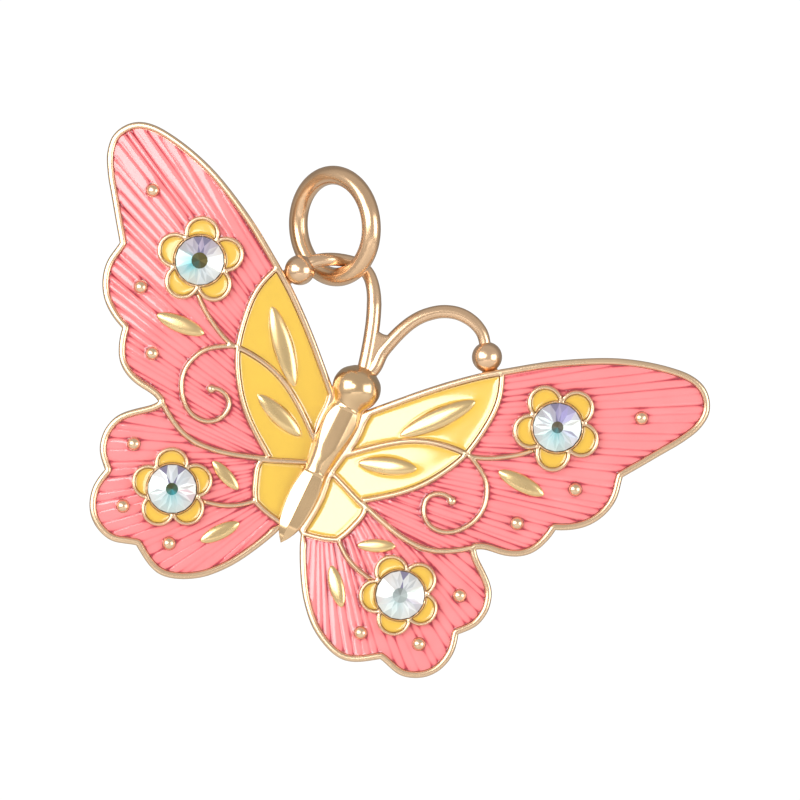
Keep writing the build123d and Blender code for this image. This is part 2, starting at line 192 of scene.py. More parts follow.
class Region:
    """A flat region bounded by loops, with fast inside and distance tests."""

    def __init__(self, loops, step):
        self.loops = [resample(l, step) for l in loops if abs(area2(l)) > 0.02]
        a = np.vstack(self.loops)
        b = np.vstack([np.roll(l, -1, 0) for l in self.loops])
        self.a, self.b = a, b
        self.v0 = min(a[:, 1].min(), b[:, 1].min()) - 0.5
        self.bin = 0.25
        nb = int((a[:, 1].max() - self.v0) / self.bin) + 4
        self.bins = [[] for _ in range(nb)]
        lo = ((np.minimum(a[:, 1], b[:, 1]) - self.v0) / self.bin).astype(int)
        hi = ((np.maximum(a[:, 1], b[:, 1]) - self.v0) / self.bin).astype(int)
        for i, (p, q) in enumerate(zip(lo, hi)):
            for k in range(p, q + 1):
                self.bins[k].append(i)
        self.bins = [np.array(k, int) for k in self.bins]
        dense = []
        for p, q in zip(a, b):
            m = max(1, int(math.hypot(*(q - p)) / 0.03))
            for k in range(m):
                dense.append(p + (q - p) * k / m)
        self.kd = kdtree.KDTree(len(dense))
        for i, p in enumerate(dense):
            self.kd.insert((p[0], p[1], 0.0), i)
        self.kd.balance()

    def inside(self, pts):
        pts = np.asarray(pts, float)
        out = np.zeros(len(pts), bool)
        k = ((pts[:, 1] - self.v0) / self.bin).astype(int)
        for b in np.unique(k):
            if b < 0 or b >= len(self.bins) or len(self.bins[b]) == 0:
                continue
            sel = np.nonzero(k == b)[0]
            e = self.bins[b]
            A, B = self.a[e], self.b[e]
            x, y = pts[sel, 0][:, None], pts[sel, 1][:, None]
            cross = (A[None, :, 1] > y) != (B[None, :, 1] > y)
            dy = np.where(B[:, 1] == A[:, 1], 1e-12, B[:, 1] - A[:, 1])
            xi = A[None, :, 0] + (y - A[None, :, 1]) * (B[:, 0] - A[:, 0])[None] / dy[None]
            out[sel] = (np.sum(cross & (x < xi), 1) % 2) == 1
        return out

    def dist(self, pts):
        return np.array([self.kd.find((p[0], p[1], 0.0))[2] for p in pts])

    def rings(self, depths, slack=0.02):
        """Points set in from the boundary by each depth, where the region is wide enough."""
        out = []
        for l in self.loops:
            tan = np.roll(l, -1, 0) - np.roll(l, 1, 0)
            tan /= np.maximum(np.hypot(tan[:, 0], tan[:, 1]), 1e-9)[:, None]
            nor = np.stack([-tan[:, 1], tan[:, 0]], -1)
            test = self.inside(l + nor * 0.02)
            if np.mean(test) < 0.5:
                nor = -nor
            for d in depths:
                p = l + nor * d
                p = p[self.inside(p)]
                if len(p):
                    p = p[self.dist(p) > d - slack]
                out.append(p)
        return np.vstack([o for o in out if len(o)]) if any(len(o) for o in out) else np.zeros((0, 2))


def triangulate(region, extra):
    """Triangles filling a region, through its boundary points and the extra points."""
    pts, edges = [], []
    for l in region.loops:
        s = len(pts)
        pts += [(p[0], p[1]) for p in l]
        edges += [(s + i, s + (i + 1) % len(l)) for i in range(len(l))]
    pts += [(p[0], p[1]) for p in extra]
    r = geometry.delaunay_2d_cdt([Vector(p) for p in pts], edges, [], 0, 1e-5, False)
    V = np.array([(p[0], p[1]) for p in r[0]])
    F = np.array([f for f in r[2] if len(f) == 3], int)
    keep = region.inside(V[F].mean(1))
    F = F[keep]
    used = np.unique(F)
    back = -np.ones(len(V), int)
    back[used] = np.arange(len(used))
    V, F = V[used], back[F]
    x = V[F]
    flip = (x[:, 1, 0] - x[:, 0, 0]) * (x[:, 2, 1] - x[:, 0, 1]) - (x[:, 2, 0] - x[:, 0, 0]) * (x[:, 1, 1] - x[:, 0, 1]) < 0
    F[flip] = F[flip][:, ::-1]
    return V, F


def rim_edges(F):
    e = {}
    for f in F:
        for a, b in ((f[0], f[1]), (f[1], f[2]), (f[2], f[0])):
            if (b, a) in e:
                del e[(b, a)]
            else:
                e[(a, b)] = True
    return list(e)


class Solid:
    """Collects closed shells given over the flat wing, as (u, v, t)."""

    def __init__(self):
        self.v, self.f, self.n, self.attr = [], [], 0, {}

    def add(self, V, T, F, **attr):
        self.v.append(np.column_stack([V, T]))
        self.f += [[int(i) + self.n for i in f] for f in F]
        for k in set(attr) | set(self.attr):
            self.attr.setdefault(k, [np.zeros(self.n)] if self.n else [])
            self.attr[k].append(np.asarray(attr.get(k, np.zeros(len(V))), float))
        self.n += len(V)

    def add_capped(self, region, V, F, T, low, **attr):
        """A top surface closed down to a level base."""
        n = len(V)
        rim = rim_edges(F)
        ids = sorted({i for e in rim for i in e})
        pos = {i: n + k for k, i in enumerate(ids)}
        base_v, base_f = triangulate(region, np.zeros((0, 2)))
        near = kdtree.KDTree(len(ids))
        for k, i in enumerate(ids):
            near.insert((V[i, 0], V[i, 1], 0), k)
        near.balance()
        link = [near.find((p[0], p[1], 0))[1] for p in base_v]
        faces = [list(f) for f in F]
        faces += [[b, a, pos[a], pos[b]] for a, b in rim]
        faces += [[n + link[f[2]], n + link[f[1]], n + link[f[0]]] for f in base_f if len({link[i] for i in f}) == 3]
        VV = np.vstack([V, V[ids]])
        TT = np.r_[T, np.full(len(ids), low)]
        full = {k: np.r_[a, np.asarray(a)[ids]] for k, a in attr.items()}
        self.add(VV, TT, faces, **full)

    def build(self, name, sign, body="butterfly", sharp=50.0, arch=True):
        P = np.vstack(self.v)
        w = vault(P[:, 0], P[:, 2]) if arch else P[:, 2]
        co = to_row(P[:, 0] * sign, P[:, 1], w)
        faces = self.f if sign > 0 else [f[::-1] for f in self.f]
        o = mesh_object(name, co, faces, sharp)
        for k, a in self.attr.items():
            at = o.data.attributes.new(k, "FLOAT", "POINT")
            at.data.foreach_set("value", np.concatenate(a).astype(np.float32))
        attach(o, body)
        return o


def mesh_object(name, co, faces, sharp=50.0):
    me = bpy.data.meshes.new(name)
    me.from_pydata([tuple(p) for p in co], [], faces)
    me.validate()
    me.update()
    me.polygons.foreach_set("use_smooth", [True] * len(me.polygons))
    me.set_sharp_from_angle(angle=math.radians(sharp))
    o = bpy.data.objects.new(name, me)
    bpy.context.scene.collection.objects.link(o)
    return o


# ------------------------------------------------------------------ materials
def principled(name, color, **sock):
    m = bpy.data.materials.new(name)
    m.use_nodes = True
    nt = m.node_tree
    b = nt.nodes["Principled BSDF"]
    b.inputs["Base Color"].default_value = (*color, 1)
    for k, v in sock.items():
        b.inputs[k.replace("_", " ")].default_value = v
    return m, nt, b


def add_bump(nt, b, scale, strength, distance, detail=3.0, socket="Normal"):
    tc = nt.nodes.new("ShaderNodeTexCoord")
    no = nt.nodes.new("ShaderNodeTexNoise")
    no.inputs["Scale"].default_value = scale
    no.inputs["Detail"].default_value = detail
    bu = nt.nodes.new("ShaderNodeBump")
    bu.inputs["Strength"].default_value = strength
    bu.inputs["Distance"].default_value = distance
    nt.links.new(tc.outputs["Object"], no.inputs["Vector"])
    nt.links.new(no.outputs["Fac"], bu.inputs["Height"])
    nt.links.new(bu.outputs["Normal"], b.inputs[socket])
    return tc, no


def ramp(nt, fac, stops):
    r = nt.nodes.new("ShaderNodeValToRGB")
    cr = r.color_ramp
    while len(cr.elements) > 1:
        cr.elements.remove(cr.elements[-1])
    cr.elements[0].position, cr.elements[0].color = stops[0][0], (*stops[0][1], 1)
    for p, c in stops[1:]:
        e = cr.elements.new(p)
        e.color = (*c, 1)
    nt.links.new(fac, r.inputs["Fac"])
    return r


def gold(name, color, rough, leaf=None, bump=0.05, scale=900.0):
    m, nt, b = principled(name, color, Metallic=1.0, Roughness=rough, Coat_Weight=0.5, Coat_Roughness=0.12, Coat_IOR=1.6)
    tc, no = add_bump(nt, b, scale, bump, 0.00004)
    n2 = nt.nodes.new("ShaderNodeTexNoise")
    n2.inputs["Scale"].default_value = 260.0
    n2.inputs["Detail"].default_value = 4.0
    nt.links.new(tc.outputs["Object"], n2.inputs["Vector"])
    if leaf is None:
        c = ramp(nt, n2.outputs["Fac"], [(0.30, tuple(x * 0.93 for x in color)), (0.70, tuple(min(1, x * 1.05) for x in color))])
        nt.links.new(c.outputs["Color"], b.inputs["Base Color"])
    else:
        at = nt.nodes.new("ShaderNodeAttribute")
        at.attribute_name = "leaf"
        c = ramp(nt, at.outputs["Fac"], [(0.0, color), (1.0, leaf)])
        hs = nt.nodes.new("ShaderNodeHueSaturation")
        mr = nt.nodes.new("ShaderNodeMapRange")
        mr.inputs["To Min"].default_value = 0.92
        mr.inputs["To Max"].default_value = 1.06
        nt.links.new(n2.outputs["Fac"], mr.inputs["Value"])
        nt.links.new(mr.outputs["Result"], hs.inputs["Value"])
        nt.links.new(c.outputs["Color"], hs.inputs["Color"])
        nt.links.new(hs.outputs["Color"], b.inputs["Base Color"])
    rr = nt.nodes.new("ShaderNodeMapRange")
    rr.inputs["To Min"].default_value = rough * 0.88
    rr.inputs["To Max"].default_value = rough * 1.14
    nt.links.new(n2.outputs["Fac"], rr.inputs["Value"])
    nt.links.new(rr.outputs["Result"], b.inputs["Roughness"])
    return m


M_WING = gold("gold_wing", (0.87, 0.615, 0.395), 0.27, leaf=(0.86, 0.62, 0.30))
M_BODY = gold("gold_body", (0.80, 0.55, 0.305), 0.20)
M_ANT = gold("gold_antenna", (0.86, 0.58, 0.36), 0.24)
M_RING = gold("gold_ring", (0.86, 0.57, 0.34), 0.23)


def enamel(name, stops, rough, coat_rough, coat_ior, under=0.5):
    m, nt, b = principled(name, stops[0][1], Roughness=rough, Coat_Weight=1.0, Coat_Roughness=coat_rough, Coat_IOR=coat_ior, IOR=1.5, Specular_IOR_Level=under)
    at = nt.nodes.new("ShaderNodeAttribute")
    at.attribute_name = "pool"
    c = ramp(nt, at.outputs["Fac"], stops)
    tc, no = add_bump(nt, b, 1100.0, 0.02, 0.00003)
    n2 = nt.nodes.new("ShaderNodeTexNoise")
    n2.inputs["Scale"].default_value = 420.0
    n2.inputs["Detail"].default_value = 3.0
    nt.links.new(tc.outputs["Object"], n2.inputs["Vector"])
    hs = nt.nodes.new("ShaderNodeHueSaturation")
    mr = nt.nodes.new("ShaderNodeMapRange")
    mr.inputs["To Min"].default_value = 0.93
    mr.inputs["To Max"].default_value = 1.06
    nt.links.new(n2.outputs["Fac"], mr.inputs["Value"])
    nt.links.new(mr.outputs["Result"], hs.inputs["Value"])
    nt.links.new(c.outputs["Color"], hs.inputs["Color"])
    nt.links.new(hs.outputs["Color"], b.inputs["Base Color"])
    return m


M_PINK = enamel("pink_enamel", [(0.0, (0.91, 0.265, 0.272)), (0.40, (0.87, 0.20, 0.212)), (0.75, (0.60, 0.065, 0.090)), (1.0, (0.36, 0.025, 0.045))], 0.28, 0.045, 1.68, 0.06)
M_YELLOW = enamel("yellow_enamel", [(0.0, (0.82, 0.515, 0.034)), (1.0, (0.66, 0.38, 0.024))], 0.24, 0.10, 1.92)
M_PETAL = enamel("petal_enamel", [(0.0, (0.80, 0.49, 0.045)), (1.0, (0.54, 0.29, 0.025))], 0.24, 0.10, 1.62)


def crystal_material():
    m, nt, b = principled("crystal", (0.9, 0.92, 0.97), Roughness=0.07, IOR=1.55, Metallic=0.08, Coat_Weight=0.30, Coat_Roughness=0.02)
    # base colour comes from the per-facet attribute: the coating colour with painted reflections (white, dark and
    # blue-green facets) fixed on the stone
    at = nt.nodes.new("ShaderNodeAttribute")
    at.attribute_name = "coat_and_painted_reflection"
    nt.links.new(at.outputs["Color"], b.inputs["Base Color"])
    b.inputs["Thin Film Thickness"].default_value = 400.0
    b.inputs["Thin Film IOR"].default_value = 1.66
    return m


M_CRYSTAL = crystal_material()
M_CEMENT, nt_c, b_c = principled("crystal_cement", (0.80, 0.78, 0.72), Roughness=0.3, IOR=1.5)
add_bump(nt_c, b_c, 700.0, 0.1, 0.00005)


def dress(o, material, slot, *nodes):
    o.data.materials.append(material)
    if nodes:
        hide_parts(*nodes)


# ------------------------------------------------------------------ wing metal
def bead_profile(d, r, lo, hi):
    x = np.clip(1 - d / r, 0, 1)
    return lo + (hi - lo) * np.sqrt(1 - x * x)


FLOWERS = [((19.68, 4.4), -2.5), ((12.55, -17.4), -8.4)]
BEADS = [(26.95, 8.8), (23.95, -0.47), (20.1, -6.0), (17.95, -14.95), (16.3, -21.05), (10.55, -22.5)]
BEAD_R = 0.66
CRYSTAL_R = 2.35

rim_loops = top_loops("right_wing_plate", RIM_TOP)
outline = max(rim_loops, key=lambda q: abs(area2(q)))
facing = math.copysign(1.0, area2(outline))
big = []
for l in rim_loops:
    c, size = l.mean(0), area2(l) * facing
    if abs(size) < 2.0 and any(math.hypot(c[0] - b[0], c[1] - b[1]) < 0.3 for b in BEADS):
        continue
    if not 0 < size < 12:
        big.append(l)

metal = Solid()
# plate under the enamel
slab_loop = outline.copy()
reg_slab = Region([slab_loop], 0.35)
shrunk = []
for l in reg_slab.loops:
    tan = np.roll(l, -1, 0) - np.roll(l, 1, 0)
    tan /= np.maximum(np.hypot(tan[:, 0], tan[:, 1]), 1e-9)[:, None]
    nor = np.stack([-tan[:, 1], tan[:, 0]], -1)
    if np.mean(reg_slab.inside(l + nor * 0.05)) < 0.5:
        nor = -nor
    shrunk.append(l + nor * 0.04)
reg_slab = Region(shrunk, 0.35)
gx = np.arange(0, 34, 1.1)
gy = np.arange(-26, 15.5, 1.1)
grid = np.array([(x + (0.55 if j % 2 else 0), y) for j, y in enumerate(gy) for x in gx])
grid = grid[reg_slab.inside(grid)]
grid = grid[reg_slab.dist(grid) > 0.5]
V, F = triangulate(reg_slab, grid)
top = np.full(len(V), FLOOR)
n = len(V)
rim = rim_edges(F)
metal.add(np.vstack([V, V]), np.r_[top, np.zeros(n)],
          [list(f) for f in F] + [[int(f[2]) + n, int(f[1]) + n, int(f[0]) + n] for f in F] + [[b, a, a + n, b + n] for a, b in rim])

# rim and lines, rounded over
reg = Region(big, 0.12)
V, F = triangulate(reg, reg.rings([0.03, 0.075, 0.13, 0.20, 0.27], 0.015))
d = reg.dist(V)
metal.add_capped(reg, V, F, bead_profile(d, 0.28, 1.43, 1.74), 0.06)
# leaves, pillowed
SLOPE = 0.032         # the yellow cells fill up a little toward their outer ends
LEAVES = [((5.85, -3.0), (11.15, 3.25), 1.95), ((3.2, -7.2), (8.7, -5.3), 1.75), ((16.25, -2.05), (21.3, -2.3), 1.68),
          ((6.6, -14.7), (10.05, -13.2), 1.32), ((5.08, -17.68), (7.77, -20.96), 1.5)]
for p0, p1, wide in LEAVES:
    p0, p1 = np.array(p0), np.array(p1)
    mid, along = (p0 + p1) / 2, (p1 - p0) / np.linalg.norm(p1 - p0)
    across = np.array([-along[1], along[0]])
    half = np.linalg.norm(p1 - p0) / 2 * 1.02
    segs, tiers = 96, 16
    V, T, F = [], [], []
    for j in range(tiers):
        out = 1 - (j / tiers) ** 1.6
        for i in range(segs):
            q = 2 * math.pi * i / segs
            side = math.copysign(abs(math.sin(q)) ** 1.16, math.sin(q))
            V.append(mid + out * (half * math.cos(q) * along + wide * 0.515 * side * across))
            T.append(1.40 + (SLOPE * (V[-1][0] - 7.5) if p0[0] < 6.0 and p0[1] > -10 else 0.0) + 0.23 * wide * (1 - out ** 2.8) ** 0.55)
    V.append(mid)
    T.append(1.40 + (SLOPE * (mid[0] - 7.5) if p0[0] < 6.0 and p0[1] > -10 else 0.0) + 0.23 * wide)
    for j in range(tiers - 1):
        F += [[j * segs + i, j * segs + (i + 1) % segs, (j + 1) * segs + (i + 1) % segs, (j + 1) * segs + i] for i in range(segs)]
    F += [[(tiers - 1) * segs + i, (tiers - 1) * segs + (i + 1) % segs, tiers * segs] for i in range(segs)]
    s = len(V)
    V += [V[i] for i in range(segs)]
    T += [FLOOR - 0.1] * segs
    F += [[(i + 1) % segs, i, s + i, s + (i + 1) % segs] for i in range(segs)]
    F.append([s + i for i in range(segs)][::-1])
    metal.add(np.array(V), np.array(T), F, leaf=np.ones(len(V)))
# flower outlines
fl_loops = top_loops("right_wing_plate", FLOWER_TOP)
for (c, first) in FLOWERS:
    mine = [l for l in fl_loops if math.hypot(*(l.mean(0) - np.array(c))) < 4.6 and math.hypot(*(l[0] - np.array(c))) < 5.2]
    if not mine:
        continue
    r = Region(mine, 0.12)
    V, F = triangulate(r, r.rings([0.04, 0.10, 0.17], 0.02))
    d = r.dist(V)
    metal.add_capped(r, V, F, bead_profile(d, 0.20, 1.86, 2.10), FLOOR - 0.1)


def dome(solid, c, r, t0, height, segs=40, rings=12, low=FLOOR - 0.1):
    """A round boss: straight sides up to t0, then a dome."""
    V, T, F = [], [], []
    for j in range(rings):
        a = (math.pi / 2) * j / rings
        for i in range(segs):
            q = 2 * math.pi * i / segs
            V.append((c[0] + r * math.cos(a) * math.cos(q), c[1] + r * math.cos(a) * math.sin(q)))
            T.append(t0 + height * math.sin(a))
    V.append(c)
    T.append(t0 + height)
    for j in range(rings - 1):
        for i in range(segs):
            i2 = (i + 1) % segs
            F.append([j * segs + i, j * segs + i2, (j + 1) * segs + i2, (j + 1) * segs + i])
    for i in range(segs):
        F.append([(rings - 1) * segs + i, (rings - 1) * segs + (i + 1) % segs, rings * segs])
    s = len(V)
    for i in range(segs):
        q = 2 * math.pi * i / segs
        V.append((c[0] + r * math.cos(q), c[1] + r * math.sin(q)))
        T.append(low)
    for i in range(segs):
        i2 = (i + 1) % segs
        F.append([i2, i, s + i, s + i2])
    F.append([s + i for i in range(segs)][::-1])
    solid.add(np.array(V), np.array(T), F)


for b in BEADS:
    dome(metal, b, BEAD_R, 1.42, 0.60)
dome(metal, (13.25, -6.72), 0.42, 1.40, 0.40)

# ------------------------------------------------------------------ enamel
def noisy(u, v, s, seed):
    return np.array([noise.noise((x * s + seed, y * s - seed * 0.7, seed * 1.3)) for x, y in zip(u, v)])


def chance(k, seed):
    return (np.sin((np.asarray(k, float) + 1.37) * 12.9898 + seed * 78.233) * 43758.5453) % 1.0


class Grooves:
    """Fine grooves fanning out from one point, unevenly set and unevenly deep."""

    def __init__(self, region, centre, pitch, seed):
        self.c, self.pitch, self.seed = np.array(centre), pitch, seed
        a, r = self.polar(region.a)
        self.k0, self.k1 = int(math.floor(a.min() / pitch)) - 1, int(math.ceil(a.max() / pitch)) + 1
        self.r0, self.r1 = r.min(), r.max()

    def polar(self, V):
        return np.arctan2(V[:, 1] - self.c[1], V[:, 0] - self.c[0]), np.hypot(V[:, 0] - self.c[0], V[:, 1] - self.c[1])

    def angle(self, k, r):
        bend = np.array([noise.noise((i * 3.3, q * 0.11, self.seed)) for i, q in zip(k, r)])
        return (k + 0.5 + 0.42 * (chance(k, self.seed) - 0.5) + 0.20 * bend) * self.pitch

    def depth(self, k, r):
        fade = np.array([noise.noise((i * 7.1, q * 0.20, self.seed + 5.0)) for i, q in zip(k, r)])
        return np.clip(0.78 + 0.7 * (chance(k + 100, self.seed) - 0.5) + 0.45 * fade, 0.22, 1.25)

    def points(self, region, step, offsets, keep):
        out = []
        r = np.arange(self.r0, self.r1, step)
        for k in range(self.k0, self.k1 + 1):
            kk = np.full(len(r), float(k))
            q = self.angle(kk, r)
            half = (self.angle(kk + 1, r) - q) * 0.5
            for o in offsets:
                w = q + o / r
                out.append(np.stack([self.c[0] + r * np.cos(w), self.c[1] + r * np.sin(w)], -1)[np.abs(o / r) < np.abs(half) * 0.8])
            w = q + half
            out.append(np.stack([self.c[0] + r * np.cos(w), self.c[1] + r * np.sin(w)], -1))
        p = np.vstack(out)
        p = p[region.inside(p)]
        return p[region.dist(p) > keep]

    def near(self, V):
        """Distance to the nearest groove and its depth there."""
        a, r = self.polar(V)
        base = np.floor(a / self.pitch)
        best, deep = np.full(len(V), 9.0), np.zeros(len(V))
        for o in (-1, 0, 1):
            k = base + o
            d = np.abs(a - self.angle(k, r)) * r
            hit = d < best
            best[hit] = d[hit]
            deep[hit] = self.depth(k[hit], r[hit])
        return best, deep


PINK = {"forewing_pink_enamel": ((-13.0, -11.0), 0.0190, 0.105), "hindwing_pink_enamel": ((-1.4, -7.2), 0.0430, 0.105)}
enamel_parts = {}
for name, (centre, pitch, amp) in PINK.items():
    reg = Region(top_loops("right_" + name, ENAMEL_TOP), 0.20)
    ring = reg.rings([0.06, 0.13], 0.02)
    for sign, seed in ((1, 3.1), (-1, 8.4)):
        g = Grooves(reg, centre, pitch, seed)
        V, F = triangulate(reg, np.vstack([g.points(reg, 0.34, (-0.22, -0.13, -0.06, 0.0, 0.06, 0.13, 0.22), 0.16), ring]))
        d = reg.dist(V)
        gap, deep = g.near(V)
        far = np.clip((V[:, 0] - 20.0) / 9.0, 0, 1)
        flat = np.clip((V[:, 0] - 25.5) / 3.0, 0, 1) if sign < 0 else np.clip((8.5 - V[:, 0]) / 4.0, 0, 1)
        T = ENAMEL_TOP + 0.012 - amp * ((0.60 + 0.30 * np.clip((V[:, 0] - 15.0) / 5.0, 0, 1) + 0.55 * far) if sign < 0 else (0.60 + 0.35 * far)) * deep * ((0.68 + 0.12 * flat) * np.exp(-gap / 0.10) + (0.50 - 0.38 * flat) * np.exp(-gap / 0.34)) * np.clip(0.8 + d / 0.3, 0, 1) + 0.012 * np.exp(-d / 0.14)
        blotch = 0.5 + 0.5 * noisy(V[:, 0], V[:, 1], 0.35, seed)
        patch = np.clip(0.5 + 1.2 * noisy(V[:, 0], V[:, 1], 0.55, seed + 2.0), 0, 1)
        pool = (0.48 + 0.34 * flat) * deep * np.exp(-(gap / 0.11) ** 2) + 0.42 * np.exp(-d / 0.13) * patch + 0.22 * blotch - 0.06
        pool = np.clip(pool + 1.1 * deep * np.exp(-(gap / 0.20) ** 2) * np.exp(-d / 0.30), 0, 1)
        s = Solid()
        s.add_capped(reg, V, F, T, FLOOR + BOND, pool=pool)
        enamel_parts[(name, sign)] = s

for name in ("upper_yellow_enamel", "middle_yellow_enamel", "lower_yellow_enamel"):
    reg = Region(top_loops("right_" + name, ENAMEL_TOP), 0.20)
    gx = np.arange(0, 15, 0.42)
    gy = np.arange(-17, 8, 0.42)
    grid = np.array([(x + (0.21 if j % 2 else 0), y) for j, y in enumerate(gy) for x in gx])
    grid = grid[reg.inside(grid)]
    grid = grid[reg.dist(grid) > 0.62]
    V, F = triangulate(reg, np.vstack([grid, reg.rings([0.05, 0.12, 0.21, 0.33, 0.5], 0.03)]))
    d = reg.dist(V)
    for sign, seed in ((1, 1.7), (-1, 6.2)):
        wave = noisy(V[:, 0], V[:, 1], 0.45, seed)
        T = ENAMEL_TOP - 0.02 + SLOPE * (V[:, 0] - 7.5) + 0.08 * np.exp(-d / 0.20) + 0.010 * wave
        pool = np.clip(0.60 * np.exp(-d / 0.16) + 0.18 * (0.5 + 0.5 * wave), 0, 1)
        s = Solid()
        s.add_capped(reg, V, F, T, FLOOR + BOND, pool=pool)
        enamel_parts[(name, sign)] = s

for name in ("forewing_petal_enamel", "hindwing_petal_enamel"):
    loops = top_loops("right_" + name, PETAL_TOP)
    pair = {1: Solid(), -1: Solid()}
    for l in loops:
        reg = Region([l], 0.10)
        V, F = triangulate(reg, reg.rings([0.05, 0.12, 0.22, 0.34, 0.48], 0.03))
        d = reg.dist(V)
        T = PETAL_TOP - 0.02 + 0.09 * np.exp(-d / 0.12)
        pool = np.clip(0.8 * np.exp(-d / 0.16), 0, 1)
        for sign in (1, -1):
            pair[sign].add_capped(reg, V, F, T, PETAL_FLOOR + BOND, pool=pool)
    for sign in (1, -1):
        enamel_parts[(name, sign)] = pair[sign]

SIDE = {1: "right", -1: "left"}
for sign, sname in SIDE.items():
    o = metal.build(sname + "_wing_metal", sign)
    dress(o, M_WING, "gold_wing", sname + "_wing_plate")
for (name, sign), s in enamel_parts.items():
    o = s.build(SIDE[sign] + "_" + name + "_fill", sign)
    mat, slot = (M_PINK, "pink_enamel") if "pink" in name else ((M_PETAL, "petal_enamel") if "petal" in name else (M_YELLOW, "yellow_enamel"))
    dress(o, mat, slot, SIDE[sign] + "_" + name)


# ------------------------------------------------------------------ crystals
def make_crystal(name, c, first, sign, seed, look):
    """Round stone: small table, long wedge facets in two tiers, girdle and a tapering back."""
    V, F, coat_and_painted_reflection = [], [], []
    base = float(vault(c[0], 0.0))
    g0, g1, top = 1.90, 2.12, 2.94
    q = math.radians(first)

    def facet(points, shade):
        s = len(V)
        V.extend(points)
        F.append([s + i for i in range(len(points))])
        coat_and_painted_reflection.extend(shade if isinstance(shade, list) else [shade] * len(points))

    def ringp(r, z, n, off=0.0):
        return [(r * math.cos(2 * math.pi * (i + off) / n), r * math.sin(2 * math.pi * (i + off) / n), z) for i in range(n)]

    def hung_angle(points):
        """Direction of a facet from the stone's middle as it hangs, from the top round to the right."""
        m = np.mean(np.array(points), 0)
        u, v = (m[0] * math.cos(q) - m[1] * math.sin(q)) * sign, m[0] * math.sin(q) + m[1] * math.cos(q)
        return math.degrees(math.atan2(u * CT + v * ST, -u * ST + v * CT)) % 360

    def turn(a, b):
        return abs((a - b + 180) % 360 - 180)

    def blend(stops, a):
        """Colour at a direction, between the nearest stops round the stone."""
        at = [h[0] - 360 for h in stops[-1:]] + [h[0] for h in stops] + [stops[0][0] + 360]
        cols = [stops[-1][1]] + [h[1] for h in stops] + [stops[0][1]]
        return np.array([np.interp(a, at, [k[m] for k in cols]) for m in range(3)])

    def colour(points, k):
        a = hung_angle(points)
        tone = 0.66 + 0.30 * float(chance(k + 7, seed))
        return np.clip(blend(look["facets"], (a + 14 * (float(chance(k, seed)) - 0.5)) % 360) * tone, 0, 1)

    n = 16
    table = ringp(look["eye"], top, n)
    mid = ringp(1.50, top - 0.36, n, 0.5)
    gir = ringp(CRYSTAL_R + 0.06, g1, n)
    low = ringp(CRYSTAL_R + 0.06, g0, n)
    foot = ringp(CRYSTAL_R * 0.62, 1.14, n)
    eye = (0.0, 0.0, top)
    flash_at, flash_most = look["cyan_flash"]
    dark = {min(range(n), key=lambda i: turn(hung_angle([gir[i], gir[(i + 1) % n]]), a)) for a in look["dark"]}

    def paint_cyan_flash(points, shade, most):
        """Painted blue-green reflection on one side, strongest next to the table."""
        w = flash_most * most * max(0.0, 1 - (turn(hung_angle(points), flash_at) / 72.0) ** 2)
        return tuple(np.array(shade) * (1 - w) + np.array([0.05, 0.44, 0.52]) * w)

    # facet colours are painted light: white, dark, warm and blue-green facets stand for reflections and sparkle, fixed
    # on the stone as it hangs; the random tone per facet is painted sparkle too
    for i in range(n):
        j, h = (i + 1) % n, (i - 1) % n
        # the table is painted dark, a painted reflection tinted by side; the chosen dark wedges are painted dark
        # reflections
        facet([table[i], table[j], eye], tuple(blend(look["heart"], hung_angle([table[i], table[j]])) * (0.70 + 0.60 * float(chance(i // 2 + 60, seed)))))
        wedge = np.array([0.23, 0.20, 0.33]) if i in dark else colour([gir[i], gir[j]], i + 10)
        facet([table[i], mid[i], table[j]], [paint_cyan_flash([gir[i]], wedge * 0.9, 0.95), paint_cyan_flash([gir[i], gir[j]], wedge, 0.55), paint_cyan_flash([gir[j]], wedge * 0.9, 0.95)])
        facet([mid[i], gir[i], gir[j]], [paint_cyan_flash([gir[i], gir[j]], wedge, 0.30), tuple(wedge * WARM), tuple(wedge * WARM)])
        one = np.clip(colour([gir[i]], i + 30) * 1.03, 0, 1)
        facet([table[i], mid[h], gir[i]], [paint_cyan_flash([gir[i]], one, 0.85), paint_cyan_flash([gir[h], gir[i]], one, 0.40), tuple(one * WARM)])
        two = colour([gir[i]], i + 50)
        facet([table[i], gir[i], mid[i]], [paint_cyan_flash([gir[i]], two, 0.85), tuple(two * WARM), paint_cyan_flash([gir[i], gir[j]], two, 0.40)])
        facet([gir[i], low[i], low[j], gir[j]], (0.85, 0.82, 0.80))
        facet([low[i], foot[i], foot[j], low[j]], (0.7, 0.7, 0.75))
    facet(foot[::-1], (0.6, 0.6, 0.65))
    P = np.array(V)
    x = c[0] + P[:, 0] * math.cos(q) - P[:, 1] * math.sin(q)
    y = c[1] + P[:, 0] * math.sin(q) + P[:, 1] * math.cos(q)
    co = to_row(x * sign, y, base + P[:, 2])
    faces = F if sign > 0 else [f[::-1] for f in F]
    me = bpy.data.meshes.new(name)
    me.from_pydata([tuple(p) for p in co], [], faces)
    me.update()
    # store the painted facet colours (coating colour with painted reflections) per vertex
    at = me.attributes.new("coat_and_painted_reflection", "FLOAT_COLOR", "POINT")
    at.data.foreach_set("color", np.column_stack([np.array(coat_and_painted_reflection), np.ones(len(coat_and_painted_reflection))]).astype(np.float32).ravel())
    o = bpy.data.objects.new(name, me)
    bpy.context.scene.collection.objects.link(o)
    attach(o, "butterfly")
    return o
